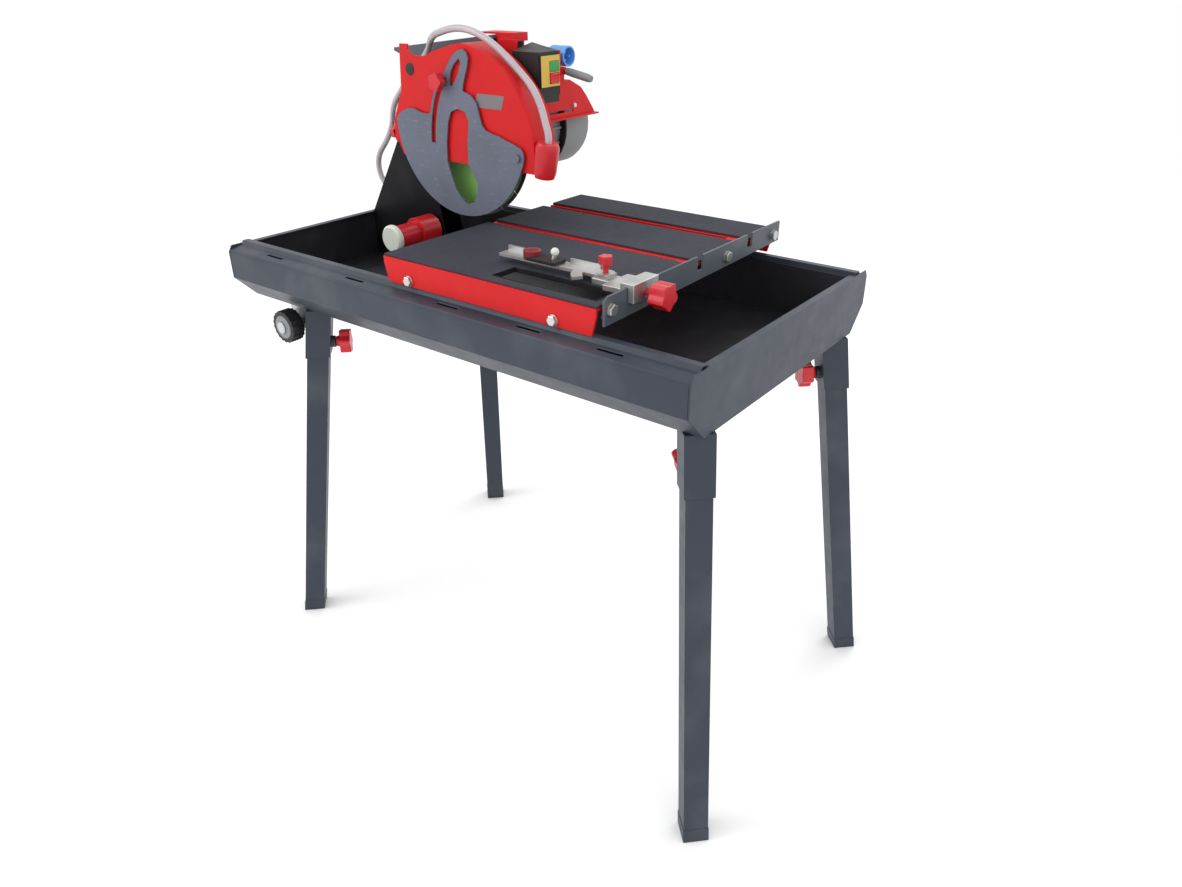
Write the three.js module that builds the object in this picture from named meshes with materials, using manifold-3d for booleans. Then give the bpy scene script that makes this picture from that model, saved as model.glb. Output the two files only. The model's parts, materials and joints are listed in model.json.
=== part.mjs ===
// Masonry saw on four splayed legs: water tray, sliding cart and a tilting, plunging cutting head.
// Millimetres, +Z up, +X along the tray towards the operator's end, -Y the long side with the cart's
// mitre guide. The tray centre is the modelling origin; ORIGIN_X centres the overall box.
import * as THREE from "three";
import { mergeVertices } from "three/addons/utils/BufferGeometryUtils.js";
import Module from "manifold-3d";

const wasm = await Module();
wasm.setup();

// ---------------------------------------------------------------- driving dimensions
const ORIGIN_X = 45.25;
const GAP = 0.3;

const TRAY_HALF = 552.5;
const PANEL_T = 3;
const RAIL_END = TRAY_HALF - PANEL_T - GAP;
const RAIL_OUT = 310;
const RAIL_IN = 262;
const RAIL_TOP = 868;
const LIP_Z = 848;
const BAND_LOW = 797;
const TRAY_BOTTOM = 750;
const SHEET = 2.5;
const BASIN_FLOOR = 763;
const BASIN_TOP = 859;

const LEG_SIDE = 44;
const SLEEVE_SIDE = 50;
const SLEEVE_BORE = 44.9;
const SLEEVE_LOW = 648;
const LEG_TOP_Z = 738;
const LEG_FRONT_X = 524.6;
const LEG_REAR_X = -373.2;
const LEG_TOP_Y = 238.8;
const SPLAY_X = 0.1145;
const SPLAY_Y = 0.1073;
const LEG_KNOB_Z = 674;

const WHEEL_X = -425;
const WHEEL_Z = 712;
const WHEEL_R = 34;

const DECK_Z = 914;
const MAT_T = 4;
const DECK_X0 = -104;
const DECK_X1 = 366;
const DECK_Y0 = -280;
const DECK_Y1 = 286;
const PLATE_LOW = 869;
// square-cut groove on the blade plane, and the groove a disc tilted to 45 degrees runs in
const GROOVES = [
  { y: 0, span: [-12, 13], slot: [-2.3, 2.3] },
  { y: 173, span: [158, 189], slot: [169, 181] },
];
const ROLLER_X = [-43, 283];
const ROLLER_R = 10.7;

const FENCE_X = 372;
const FENCE_TOP = 931;
const PIVOT_X = 310;
const FENCE_LOW = 886;

const SPINDLE_X = -148;
const SPINDLE_Z = 1075;
const BLADE_R = 150;
const GUARD_C = [-146, 1055];
const GUARD_R = 187;
const GUARD_Y0 = -32;
const GUARD_Y1 = 28;
const GUARD_LOW = 1029;
const GUARD_START = -8;
const FLAP_PIVOT = [5, 1055];
const FLAP_C = [-142, 1099];
const FLAP_R = 168;
const FLAP_SLOT_R = 215.5;

const TILT_Y = 40;
const TILT_Z = 1110;
const BEVEL_KNOB = [4, 1062];
const PLUNGE = [-300, 1110];
const COLUMN_Y0 = 68;
const COLUMN_Y1 = 128;
const ARM_Y0 = 52;
const ARM_Y1 = 144;
const HOSE_R = 6.3;
const CLIP_AT = [-347, 40, 1165];
const GRIP_AT = [-6, 112, 1191];

// ---------------------------------------------------------------- materials
const paint = (colour, roughness = 0.45) =>
  new THREE.MeshStandardMaterial({ color: colour, roughness, metalness: 0.1 });
const GREY_PAINT = paint(0x474c56);
const DARK_PAINT = paint(0x2b2e34);
const BLACK_PAINT = paint(0x151619);
const RED_PAINT = paint(0xc9252b, 0.4);
const ARM_GREY = paint(0x5b646c);
const FLAP_GREY = paint(0x76828e, 0.5);
const MOTOR_GREY = paint(0x83868a, 0.5);
const plastic = (colour, roughness = 0.5) =>
  new THREE.MeshStandardMaterial({ color: colour, roughness, metalness: 0 });
const BLACK_PLASTIC = plastic(0x16171a);
const RED_PLASTIC = plastic(0xc41f2d, 0.35);
const MAT_RUBBER = plastic(0x3a3d45, 0.8);
const WHITE_PLASTIC = plastic(0xd8dcd2, 0.6);
const GREEN_PLASTIC = plastic(0x2f8f4a, 0.4);
const BLUE_PLASTIC = plastic(0x3f86d6, 0.4);
const CLEAR_HOSE = plastic(0xb8b4bc, 0.25);
const steel = (colour, roughness = 0.35) =>
  new THREE.MeshStandardMaterial({ color: colour, roughness, metalness: 0.9 });
const ZINC = steel(0x9aa0a4);
const ALUMINIUM = steel(0xa8aba9, 0.45);
const BLADE_GREEN = new THREE.MeshStandardMaterial({ color: 0x4c8a3a, roughness: 0.45, metalness: 0.3 });

// ---------------------------------------------------------------- shape helpers
function shapeOf(points, holes = []) {
  const shape = new THREE.Shape(points.map(([u, v]) => new THREE.Vector2(u, v)));
  for (const hole of holes) {
    shape.holes.push(new THREE.Path(hole.map(([u, v]) => new THREE.Vector2(u, v))));
  }
  return shape;
}

function arc(cx, cy, r, from, to, steps) {
  const points = [];
  for (let i = 0; i <= steps; i += 1) {
    const a = THREE.MathUtils.degToRad(from + ((to - from) * i) / steps);
    points.push([cx + r * Math.cos(a), cy + r * Math.sin(a)]);
  }
  return points;
}

function ring(cx, cy, r, steps = 16) {
  return arc(cx, cy, r, 0, 360, steps).slice(0, -1);
}

const extrude = (shape, depth) =>
  new THREE.ExtrudeGeometry(shape, { depth, bevelEnabled: false, steps: 1, curveSegments: 12 });

// shape drawn in (y, z), pushed along +X from x0 to x1
function alongX(points, x0, x1, holes) {
  const geometry = extrude(shapeOf(points, holes), x1 - x0);
  const m = new THREE.Matrix4().set(0, 0, 1, x0, 1, 0, 0, 0, 0, 1, 0, 0, 0, 0, 0, 1);
  return geometry.applyMatrix4(m);
}

// shape drawn in (x, z), filling y0 to y1
function alongY(points, y0, y1, holes) {
  const geometry = extrude(shapeOf(points, holes), y1 - y0);
  const m = new THREE.Matrix4().set(1, 0, 0, 0, 0, 0, -1, y1, 0, 1, 0, 0, 0, 0, 0, 1);
  return geometry.applyMatrix4(m);
}

// shape drawn in (x, y), filling z0 to z1
function alongZ(points, z0, z1, holes) {
  return extrude(shapeOf(points, holes), z1 - z0).translate(0, 0, z0);
}

function box(x0, x1, y0, y1, z0, z1) {
  return new THREE.BoxGeometry(x1 - x0, y1 - y0, z1 - z0)
    .translate((x0 + x1) / 2, (y0 + y1) / 2, (z0 + z1) / 2);
}

// turned part: closed profile of [radius, height] revolved about the given axis through a point
function turned(profile, axis, at, segments = 24) {
  const points = profile.map(([r, h]) => new THREE.Vector2(r, h));
  points.push(points[0].clone());
  const geometry = new THREE.LatheGeometry(points, segments);
  const q = new THREE.Quaternion().setFromUnitVectors(new THREE.Vector3(0, 1, 0), axis.clone().normalize());
  return geometry.applyQuaternion(q).translate(...at);
}

function rod(r, h0, h1, axis, at, segments = 20) {
  return turned([[0, h0], [r, h0], [r, h1], [0, h1]], axis, at, segments);
}

function tube(r, bore, h0, h1, axis, at, segments = 20) {
  return turned([[bore, h0], [r, h0], [r, h1], [bore, h1]], axis, at, segments);
}

const X = new THREE.Vector3(1, 0, 0);
const Y = new THREE.Vector3(0, 1, 0);
const Z = new THREE.Vector3(0, 0, 1);
const GRIP_AXIS = new THREE.Vector3(1, 0, -0.18);

function signedVolume(p, t) {
  let sum = 0;
  for (let i = 0; i < t.length; i += 3) {
    const [a, b, c] = [t[i] * 3, t[i + 1] * 3, t[i + 2] * 3];
    sum += p[a] * (p[b + 1] * p[c + 2] - p[b + 2] * p[c + 1]);
    sum += p[a + 1] * (p[b + 2] * p[c] - p[b] * p[c + 2]);
    sum += p[a + 2] * (p[b] * p[c + 1] - p[b + 1] * p[c]);
  }
  return sum / 6;
}

// welded, outward-facing solid from any closed geometry
function toManifold(geometry) {
  const bare = geometry.clone();
  bare.deleteAttribute("normal");
  bare.deleteAttribute("uv");
  const merged = mergeVertices(bare, 1e-4);
  const vertProperties = new Float32Array(merged.attributes.position.array);
  const kept = [];
  const index = merged.index.array;
  for (let i = 0; i < index.length; i += 3) {
    const [a, b, c] = [index[i], index[i + 1], index[i + 2]];
    if (a !== b && b !== c && c !== a) {
      kept.push(a, b, c);
    }
  }
  if (signedVolume(vertProperties, kept) < 0) {
    kept.reverse();
  }
  return new wasm.Manifold(new wasm.Mesh({ numProp: 3, vertProperties, triVerts: new Uint32Array(kept) }));
}

function fromManifold(solid) {
  const mesh = solid.getMesh();
  const geometry = new THREE.BufferGeometry();
  geometry.setAttribute("position", new THREE.BufferAttribute(new Float32Array(mesh.vertProperties), 3));
  geometry.setIndex(new THREE.BufferAttribute(new Uint32Array(mesh.triVerts), 1));
  geometry.computeVertexNormals();
  return geometry;
}

const join = (first, ...others) =>
  fromManifold(others.reduce((a, g) => a.add(toManifold(g)), toManifold(first)));
const cut = (first, ...others) =>
  fromManifold(others.reduce((a, g) => a.subtract(toManifold(g)), toManifold(first)));

function mesh(parent, name, geometry, material) {
  const part = new THREE.Mesh(fromManifold(toManifold(geometry)), material);
  part.name = name;
  parent.add(part);
  return part;
}

function group(parent, name) {
  const g = new THREE.Group();
  g.name = name;
  parent.add(g);
  return g;
}

// lobed hand knob of outer radius r: head from h0 to h1 on a collar and stem, along an axis
function lobedKnob(r, h0, h1, stemR, stem0, axis, at, lobes = 6) {
  const outline = [];
  const steps = lobes * 5;
  for (let i = 0; i < steps; i += 1) {
    const a = (i / steps) * Math.PI * 2;
    const rr = r * (0.88 + 0.12 * Math.cos(a * lobes));
    outline.push([rr * Math.cos(a), rr * Math.sin(a)]);
  }
  const head = alongZ(outline, h0, h1);
  const hub = turned([[0, h0 + 1], [r * 0.45, h0 + 1], [r * 0.4, h0 - 8], [0, h0 - 8]], Z, [0, 0, 0], 12);
  const stem = turned([[0, stem0], [stemR, stem0], [stemR, h0], [0, h0]], Z, [0, 0, 0], 12);
  const knob = join(head, hub, stem);
  const q = new THREE.Quaternion().setFromUnitVectors(Z, axis.clone().normalize());
  return knob.applyQuaternion(q).translate(...at);
}

const saw = new THREE.Group();
saw.name = "masonry_saw";
saw.position.x = -ORIGIN_X;

// ---------------------------------------------------------------- tray
const tray = group(saw, "tray_group");

// folded side rail section for side s, drawn as [y, z]
function railSection(s) {
  const outer = [
    [RAIL_IN, 838], [RAIL_IN, RAIL_TOP], [276, RAIL_TOP], [280, 860], [301, 857], [307, 855],
    [RAIL_OUT, LIP_Z], [RAIL_OUT, BAND_LOW], [264, TRAY_BOTTOM], [238, TRAY_BOTTOM],
  ];
  const inner = [
    [238, TRAY_BOTTOM + SHEET], [263, TRAY_BOTTOM + SHEET], [RAIL_OUT - SHEET, BAND_LOW + 1],
    [RAIL_OUT - SHEET, LIP_Z - 0.6], [305.4, 852.8], [300.4, 854.6], [278.2, 857.8],
    [274.3, RAIL_TOP - SHEET], [RAIL_IN + SHEET, RAIL_TOP - SHEET], [RAIL_IN + SHEET, 838],
  ];
  return outer.concat(inner).map(([w, z]) => [s * w, z]);
}

// stop slots pressed through the rail groove
function railSlots(s) {
  const slots = [];
  for (const x of [-420, -180, 60, 240, 400]) {
    const y = s * 290.5;
    slots.push(box(x - 24, x + 24, y - 3, y + 3, 850, 866));
  }
  return slots;
}

mesh(tray, "rail_near", cut(alongX(railSection(-1), -RAIL_END, RAIL_END), ...railSlots(-1)), GREY_PAINT);
mesh(tray, "rail_far", cut(alongX(railSection(1), -RAIL_END, RAIL_END), ...railSlots(1)), GREY_PAINT);

const endOutline = [
  [-264, TRAY_BOTTOM], [264, TRAY_BOTTOM], [RAIL_OUT, BAND_LOW], [RAIL_OUT, LIP_Z + 3],
  [RAIL_OUT - 8, 863], [-(RAIL_OUT - 8), 863], [-RAIL_OUT, LIP_Z + 3], [-RAIL_OUT, BAND_LOW],
];
const frontPanel = alongX(endOutline, TRAY_HALF - PANEL_T, TRAY_HALF);
const frontHem = box(TRAY_HALF - 14, TRAY_HALF, -258, 258, 860.4, 863);
const rearPanel = alongX(endOutline, -TRAY_HALF, -TRAY_HALF + PANEL_T);
const rearHem = box(-TRAY_HALF, -TRAY_HALF + 14, -258, 258, 860.4, 863);
mesh(tray, "panel_front", join(frontPanel, frontHem), GREY_PAINT);
const columnNotch = box(-549, -530, COLUMN_Y0 - 2, COLUMN_Y1 + 2, 855, 870);
mesh(tray, "panel_rear", cut(join(rearPanel, rearHem), columnNotch), GREY_PAINT);

const basinY = RAIL_IN - GAP;
const basinOuter = box(-RAIL_END, RAIL_END, -basinY, basinY, TRAY_BOTTOM + SHEET + GAP, BASIN_TOP);
const basinInner = box(-RAIL_END + 3, RAIL_END - 3, -basinY + 3, basinY - 3, BASIN_FLOOR, BASIN_TOP + 10);
const basinUnder = box(-RAIL_END + 40, RAIL_END - 40, -236, 236, 740, BASIN_FLOOR - 3);
const drainHole = rod(14, -20, 20, Z, [495, -190, BASIN_FLOOR]);
mesh(tray, "basin", cut(basinOuter, basinInner, basinUnder, drainHole), DARK_PAINT);
const plug = turned(
  [[0, -10], [13.4, -10], [13.4, GAP], [20, GAP], [20, 6], [7, 9], [7, 20], [0, 20]], Z,
  [495, -190, BASIN_FLOOR], 20,
);
mesh(tray, "drain_plug", plug, BLACK_PLASTIC);

// ---------------------------------------------------------------- legs
const legs = group(saw, "legs_group");

// square outline turned corner-on, centred on the origin
function diamond(side) {
  const h = side / Math.SQRT2;
  return [[h, 0], [0, h], [-h, 0], [0, -h]];
}

// leans a vertical prism so that it leaves (x, y) at the tray bottom and spreads by kx, ky per mm down
function leaned(geometry, x, y, kx, ky) {
  const m = new THREE.Matrix4().set(
    1, 0, -kx, x + kx * TRAY_BOTTOM, 0, 1, -ky, y + ky * TRAY_BOTTOM, 0, 0, 1, 0, 0, 0, 0, 1,
  );
  return geometry.applyMatrix4(m);
}

const LEGS = [
  ["front_near", LEG_FRONT_X, 1, -1],
  ["front_far", LEG_FRONT_X, 1, 1],
  ["rear_near", LEG_REAR_X, -1, -1],
  ["rear_far", LEG_REAR_X, -1, 1],
];
for (const [name, topX, sx, sy] of LEGS) {
  const topY = sy * LEG_TOP_Y;
  const kx = sx * SPLAY_X;
  const ky = sy * SPLAY_Y;
  const inward = new THREE.Vector3(-sx, -sy, 0).normalize();
  const drop = TRAY_BOTTOM - LEG_KNOB_Z;
  const axisAt = [topX + kx * drop, topY + ky * drop, LEG_KNOB_Z];
  const walls = alongZ(diamond(SLEEVE_SIDE), SLEEVE_LOW, TRAY_BOTTOM - GAP, [diamond(SLEEVE_BORE)]);
  const cap = alongZ(diamond(SLEEVE_SIDE), TRAY_BOTTOM - 6, TRAY_BOTTOM - GAP);
  const boss = rod(12, SLEEVE_SIDE / 2 - 1.5, SLEEVE_SIDE / 2 + 9, inward, axisAt, 16);
  const bossHole = rod(5.6, SLEEVE_SIDE / 2 - 8, SLEEVE_SIDE / 2 + 20, inward, axisAt, 12);
  const sleeve = join(leaned(walls, topX, topY, kx, ky), leaned(cap, topX, topY, kx, ky), boss);
  const channel = leaned(alongZ(diamond(SLEEVE_BORE), SLEEVE_LOW - 5, TRAY_BOTTOM - 6), topX, topY, kx, ky);
  mesh(legs, `leg_socket_${name}`, cut(sleeve, bossHole, channel), GREY_PAINT);
  const legTube = alongZ(diamond(LEG_SIDE), 6, LEG_TOP_Z, [diamond(LEG_SIDE - 5)]);
  const footPad = alongZ(diamond(LEG_SIDE + 2), 0, 26);
  const leg = join(leaned(legTube, topX, topY, kx, ky), leaned(footPad, topX, topY, kx, ky));
  mesh(legs, `leg_${name}`, leg, GREY_PAINT);
  const head = SLEEVE_SIDE / 2 + 18;
  const knob = lobedKnob(27, head, head + 22, 5, LEG_SIDE / 2 + 1.1, inward, axisAt);
  mesh(legs, `leg_knob_${name}`, knob, RED_PLASTIC);
}

// ---------------------------------------------------------------- transport wheels
const wheels = group(saw, "wheels_group");
const axleAt = [WHEEL_X, 0, WHEEL_Z];
const axleRod = rod(7.5, -303, 303, Y, axleAt, 16);
const axleCaps = [-303, 297.5].map((y) => rod(12, y, y + 5.5, Y, axleAt, 16));
const hangers = [-1, 1].map((s) => alongY(
  [[WHEEL_X - 14, WHEEL_Z - 12], [WHEEL_X + 14, WHEEL_Z - 12], [WHEEL_X + 26, TRAY_BOTTOM - GAP],
    [WHEEL_X - 26, TRAY_BOTTOM - GAP]], s > 0 ? 250 : -255, s > 0 ? 255 : -250,
));
mesh(wheels, "wheel_axle", join(axleRod, ...axleCaps, ...hangers), ZINC);
for (const [name, s] of [["near", -1], ["far", 1]]) {
  const treads = [];
  for (let i = 0; i < 36; i += 1) {
    const r = i % 2 ? WHEEL_R : WHEEL_R - 2.2;
    const a = (i / 36) * Math.PI * 2;
    treads.push([WHEEL_X + r * Math.cos(a), WHEEL_Z + r * Math.sin(a)]);
  }
  const bore = ring(WHEEL_X, WHEEL_Z, 8, 16);
  const y0 = s > 0 ? 269 : -297;
  mesh(wheels, `wheel_${name}`, alongY(treads, y0, y0 + 28, [bore]), BLACK_PLASTIC);
}

// ---------------------------------------------------------------- column, pump and supply hose
const column = group(saw, "column_group");
const columnOutline = [
  [-546, BASIN_FLOOR + GAP], [-300, BASIN_FLOOR + GAP], [-345, 1011], [-345, 1080], [-382, 1112],
  [-390, 1106], [-450, 1011], [-546, 861],
];
// folded channel, open towards the cart
const columnHollow = [
  [-536, BASIN_FLOOR + 12], [-290, BASIN_FLOOR + 12], [-330, 1006], [-440, 1006], [-536, 856],
];
const columnBody = cut(
  alongY(columnOutline, COLUMN_Y0, COLUMN_Y1),
  alongY(columnHollow, COLUMN_Y0 + 4, COLUMN_Y1 - 4),
);
const knuckle = alongX([
  [TILT_Y - 8, TILT_Z + 22], [62, TILT_Z + 18], [100, TILT_Z - 8], [100, TILT_Z - 50], [80, TILT_Z - 50],
  [TILT_Y - 6, TILT_Z - 22],
], -366, -346);
const tiltTube = alongX(ring(TILT_Y, TILT_Z, 24, 24), -366, -346);
const tiltBore = rod(12.4, -30, 30, X, [-356, TILT_Y, TILT_Z], 20);
// quadrant with the arc slot that the tilt clamp knob travels in
const quadrantOutline = [
  ...arc(TILT_Y, TILT_Z, 74, 222, 290, 12), [100, 1040], [100, TILT_Z - 8], [TILT_Y, TILT_Z],
];
const clampArm = [BEVEL_KNOB[0] - TILT_Y, BEVEL_KNOB[1] - TILT_Z];
const clampR = Math.hypot(...clampArm);
const clampFrom = THREE.MathUtils.radToDeg(Math.atan2(clampArm[1], clampArm[0]));
const quadrantSlot = arc(TILT_Y, TILT_Z, clampR + 5.5, clampFrom - 6, clampFrom + 51, 12)
  .concat(arc(TILT_Y, TILT_Z, clampR - 5.5, clampFrom + 51, clampFrom - 6, 12));
const quadrant = alongX(quadrantOutline, -350.5, -346);
const knuckleCuts = [tiltBore, alongX(quadrantSlot, -370, -340)];
const hoseHoles = [
  rod(9.5, -10, 10, Y, [-342, COLUMN_Y0, 855], 12),
  rod(10, -40, 40, new THREE.Vector3(-0.86, 0, 0.51), [-505, 98, 907], 12),
];
mesh(column, "column", cut(join(columnBody, knuckle, tiltTube, quadrant), ...knuckleCuts, ...hoseHoles),
  BLACK_PAINT);

const pumpBody = join(
  rod(24, -46, 10, Y, [-342, 0, 855], 24),
  rod(31, 9, 58, Y, [-342, 0, 855], 24),
  box(-352, -332, -10, 60, 815, 850),
  turned([[0, 57], [16, 57], [16, COLUMN_Y0 - GAP], [0, COLUMN_Y0 - GAP]], Y, [-342, 0, 855], 20),
);
mesh(column, "pump_body", pumpBody, RED_PLASTIC);
mesh(column, "pump_strainer", turned(
  [[0, -62], [25, -62], [29, -58], [29, -50], [24.5, -46 - GAP], [0, -46 - GAP]], Y, [-342, 0, 855], 24,
), WHITE_PLASTIC);

class Route extends THREE.CatmullRomCurve3 {
  constructor(points) {
    super(points.map((p) => new THREE.Vector3(...p)), false, "centripetal");
  }
}

function hose(points, r, steps, sides = 10) {
  const shape = shapeOf(ring(0, 0, r, sides));
  return new THREE.ExtrudeGeometry(shape, { steps, bevelEnabled: false, extrudePath: new Route(points) });
}

const SUPPLY_ROUTE = [
  [-342, 69.5, 855], [-344, 84, 856], [-372, 97, 860], [-420, 98, 872], [-470, 98, 890], [-500, 98, 904],
  [-522, 98, 917],
];
mesh(column, "hose_supply", hose(SUPPLY_ROUTE, HOSE_R, 14, 8), CLEAR_HOSE);

// slack loop from the back of the column to the clip on the tilting bracket
const LOOP_ROUTE = [
  [-522.3, 98, 917.2], [-531.4, 98, 923.1], [-539.3, 98, 933.5], [-544.3, 98, 945.6], [-546, 98, 958.5],
  [-544.3, 98, 971.4], [-539.3, 98, 983.5], [-531, 97.5, 994.5], [-512, 96, 1013], [-490, 91, 1034],
  [-468, 82, 1056], [-447, 69, 1076], [-427, 56, 1096], [-406, 46, 1114], [-385, 41.5, 1132],
  [-368, 40.3, 1146.6], [-347, 40, 1165],
];
mesh(column, "hose_loop", hose(LOOP_ROUTE, HOSE_R, 26, 8), CLEAR_HOSE);

// ---------------------------------------------------------------- cart
const cart = group(saw, "cart_group");
const deckSheet = alongX([
  [DECK_Y0, PLATE_LOW], [DECK_Y0 + 4, PLATE_LOW], [DECK_Y0 + 4, DECK_Z - 4], [DECK_Y1 - 4, DECK_Z - 4],
  [DECK_Y1 - 4, PLATE_LOW], [DECK_Y1, PLATE_LOW], [DECK_Y1, DECK_Z], [DECK_Y0, DECK_Z],
], DECK_X0, DECK_X1);
const plateCorners = [[DECK_X0, 1], [DECK_X1, -1]].map(([x, dir]) => alongY(
  [[x - dir, PLATE_LOW - 1], [x + dir * 9, PLATE_LOW - 1], [x - dir, DECK_Z - 8]], DECK_Y0 - 1, DECK_Y1 + 1,
));
const deckSlots = GROOVES.map(({ slot: [y0, y1] }) => (
  box(DECK_X0 - 1, DECK_X1 - 40, y0, y1, DECK_Z - 6, DECK_Z + 1)
));
const handRecess = box(136, 350, -258, -202, DECK_Z - 6, DECK_Z + 1);
// roller studs riveted through the side plates
const studs = [];
for (const x of ROLLER_X) {
  studs.push(rod(4, DECK_Y0 + 1, DECK_Y0 + 24, Y, [x, 0, 879], 12));
  studs.push(rod(4, DECK_Y1 - 24, DECK_Y1 - 1, Y, [x, 0, 879], 12));
  for (const y of [DECK_Y0 + 21, DECK_Y1 - 24.5]) {
    studs.push(rod(7, y, y + 3.5, Y, [x, 0, 879], 12));
  }
  const nearHead = [[0, DECK_Y0 - 6], [6, DECK_Y0 - 5], [7.5, DECK_Y0 + 1], [0, DECK_Y0 + 1]];
  const farHead = [[0, DECK_Y1 - 1], [7.5, DECK_Y1 - 1], [6, DECK_Y1 + 5], [0, DECK_Y1 + 6]];
  studs.push(turned(nearHead, Y, [x, 0, 879], 16));
  studs.push(turned(farHead, Y, [x, 0, 879], 16));
}
const deckBody = cut(deckSheet, ...plateCorners, ...deckSlots, handRecess);
mesh(cart, "cart_deck", join(deckBody, ...studs), RED_PAINT);

const matZ = [DECK_Z + GAP, DECK_Z + MAT_T];
const [squareGroove, bevelGroove] = GROOVES;
const matSpans = [
  [DECK_Y0 + 2, squareGroove.span[0]],
  [squareGroove.span[1], bevelGroove.span[0]],
  [bevelGroove.span[1], DECK_Y1],
];
const mats = matSpans.map(([y0, y1]) => box(DECK_X0, DECK_X1, y0, y1, ...matZ));
mesh(cart, "mat_near", cut(mats[0], box(135, 351, -259, -201, DECK_Z - 1, DECK_Z + 9)), MAT_RUBBER);
mesh(cart, "mat_middle", mats[1], MAT_RUBBER);
mesh(cart, "mat_far", mats[2], MAT_RUBBER);

// rollers run on the rail tops, each on its own stud
for (const [end, x] of [["rear", ROLLER_X[0]], ["front", ROLLER_X[1]]]) {
  for (const [side, y0] of [["near", DECK_Y0 + 5], ["far", DECK_Y1 - 20]]) {
    mesh(cart, `roller_${end}_${side}`, tube(ROLLER_R, 4.6, y0, y0 + 15, Y, [x, 0, 879], 20), WHITE_PLASTIC);
  }
}

// ---------------------------------------------------------------- fence and mitre guide
const notches = [bevelGroove, squareGroove].flatMap(({ y }) => [
  [y + 9, FENCE_TOP], [y + 9, 906], [y - 9, 906], [y - 9, FENCE_TOP],
]);
const fenceOutline = [
  [-272, FENCE_LOW], [289, FENCE_LOW + 8], [289, FENCE_TOP], ...notches, [-262, FENCE_TOP],
  [-272, FENCE_TOP - 6],
];
const fencePlate = alongX(fenceOutline, FENCE_X, FENCE_X + 4);
const fenceFoot = box(DECK_X1 + GAP, FENCE_X + 1, -268, 284, 896, 902);
const fenceBolts = [-256, 88, 262].map((y) => turned(
  [[0, 3], [8.5, 3], [7, 9], [0, 10]], X, [FENCE_X, y, 909], 16,
));
mesh(cart, "fence", join(fencePlate, fenceFoot, ...fenceBolts), ARM_GREY);

const guide = group(cart, "mitre_guide_group");
const carriage = join(
  box(PIVOT_X - 16, FENCE_X - 40, -197, -163, DECK_Z + MAT_T + GAP, DECK_Z + 14),
  box(FENCE_X - 44, FENCE_X - GAP, -214, -146, DECK_Z + MAT_T + GAP, DECK_Z + 14),
  box(FENCE_X - 10, FENCE_X - GAP, -214, -146, DECK_Z + 12, FENCE_TOP + 6),
  box(FENCE_X - 10, FENCE_X + 16, -214, -146, FENCE_TOP + GAP, FENCE_TOP + 7),
  box(FENCE_X + 4 + GAP, FENCE_X + 16, -214, -146, 908, FENCE_TOP + 2),
);
const clampBore = rod(5.4, -20, 40, X, [FENCE_X + 4, -180, 918], 12);
const pivotBore = rod(5.4, -30, 30, Z, [PIVOT_X, -180, DECK_Z], 12);
mesh(guide, "mitre_carriage", cut(carriage, clampBore, pivotBore), ALUMINIUM);
mesh(guide, "mitre_clamp_knob", lobedKnob(23, 32, 60, 5, 5, X, [FENCE_X, -180, 918], 5), RED_PLASTIC);

const bar = group(guide, "mitre_bar_group");
const barZ = DECK_Z + 14 + GAP;
const sector = arc(PIVOT_X, -180, 56, 125, 235, 14).concat(arc(PIVOT_X, -180, 38, 235, 125, 10));
const barBody = join(
  box(94, PIVOT_X + 12, -194, -166, barZ, barZ + 5),
  box(94, 130, -170, -166, barZ, barZ + 13),
  box(230, PIVOT_X - 18, -170, -166, barZ, barZ + 13),
  alongZ(sector, barZ, barZ + 5),
  alongZ(ring(PIVOT_X, -180, 15, 16), barZ, barZ + 7),
);
mesh(bar, "mitre_bar", cut(barBody, rod(5.4, -5, 40, Z, [PIVOT_X, -180, barZ], 12)), ALUMINIUM);
const lockKnob = lobedKnob(12, 17, 31, 4.8, -9, Z, [PIVOT_X, -180, barZ + 3], 5);
mesh(bar, "mitre_lock_knob", lockKnob, RED_PLASTIC);
const stopBlock = join(
  box(162, 222, -202, -171, barZ + 5 + GAP, barZ + 12),
  rod(15, 5 + GAP, 20, Z, [162, -186, barZ], 20),
  rod(4, 0, 12, new THREE.Vector3(0.2, 0.1, 0.95), [208, -186, barZ + 10], 12),
  new THREE.SphereGeometry(7, 16, 10).translate(210.5, -185, barZ + 24),
);
mesh(bar, "length_stop", stopBlock, RED_PLASTIC);

// ---------------------------------------------------------------- tilting bracket
const head = group(saw, "head_group");
const clipAxis = new THREE.Vector3(0.757, 0, 0.653);
const bracket = join(
  rod(12, -370, -336, X, [0, TILT_Y, TILT_Z], 20),
  alongX([[-4, 1041], [20, 1046], [60, 1064], [136, 1080], [136, 1140], [50, 1141], [1, 1124], [-10, 1100],
    [-15, 1086], [-17, 1051]], -345 + GAP, -333),
  box(-334, -300, 66, 130, 1094, 1126),
  rod(18, 56 + GAP, 140 - GAP, Y, [PLUNGE[0], 0, PLUNGE[1]], 24),
  box(-345 + GAP, -336, 31, 49, 1130, 1167),
  rod(10, -11, 11, clipAxis, CLIP_AT, 16),
);
const plungeBore = rod(10.4, 40, 160, Y, [PLUNGE[0], 0, PLUNGE[1]], 20);
const clipBore = rod(7, -30, 30, clipAxis, CLIP_AT, 16);
const knobBore = rod(4.9, -360, -325, X, [0, ...BEVEL_KNOB], 16);
mesh(head, "tilt_bracket", cut(bracket, plungeBore, clipBore, knobBore), RED_PAINT);
const bevelKnob = lobedKnob(13, 10, 21, 4.5, -18, X.clone().negate(), [-350.5, ...BEVEL_KNOB], 5);
mesh(head, "bevel_knob", bevelKnob, RED_PLASTIC);

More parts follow.
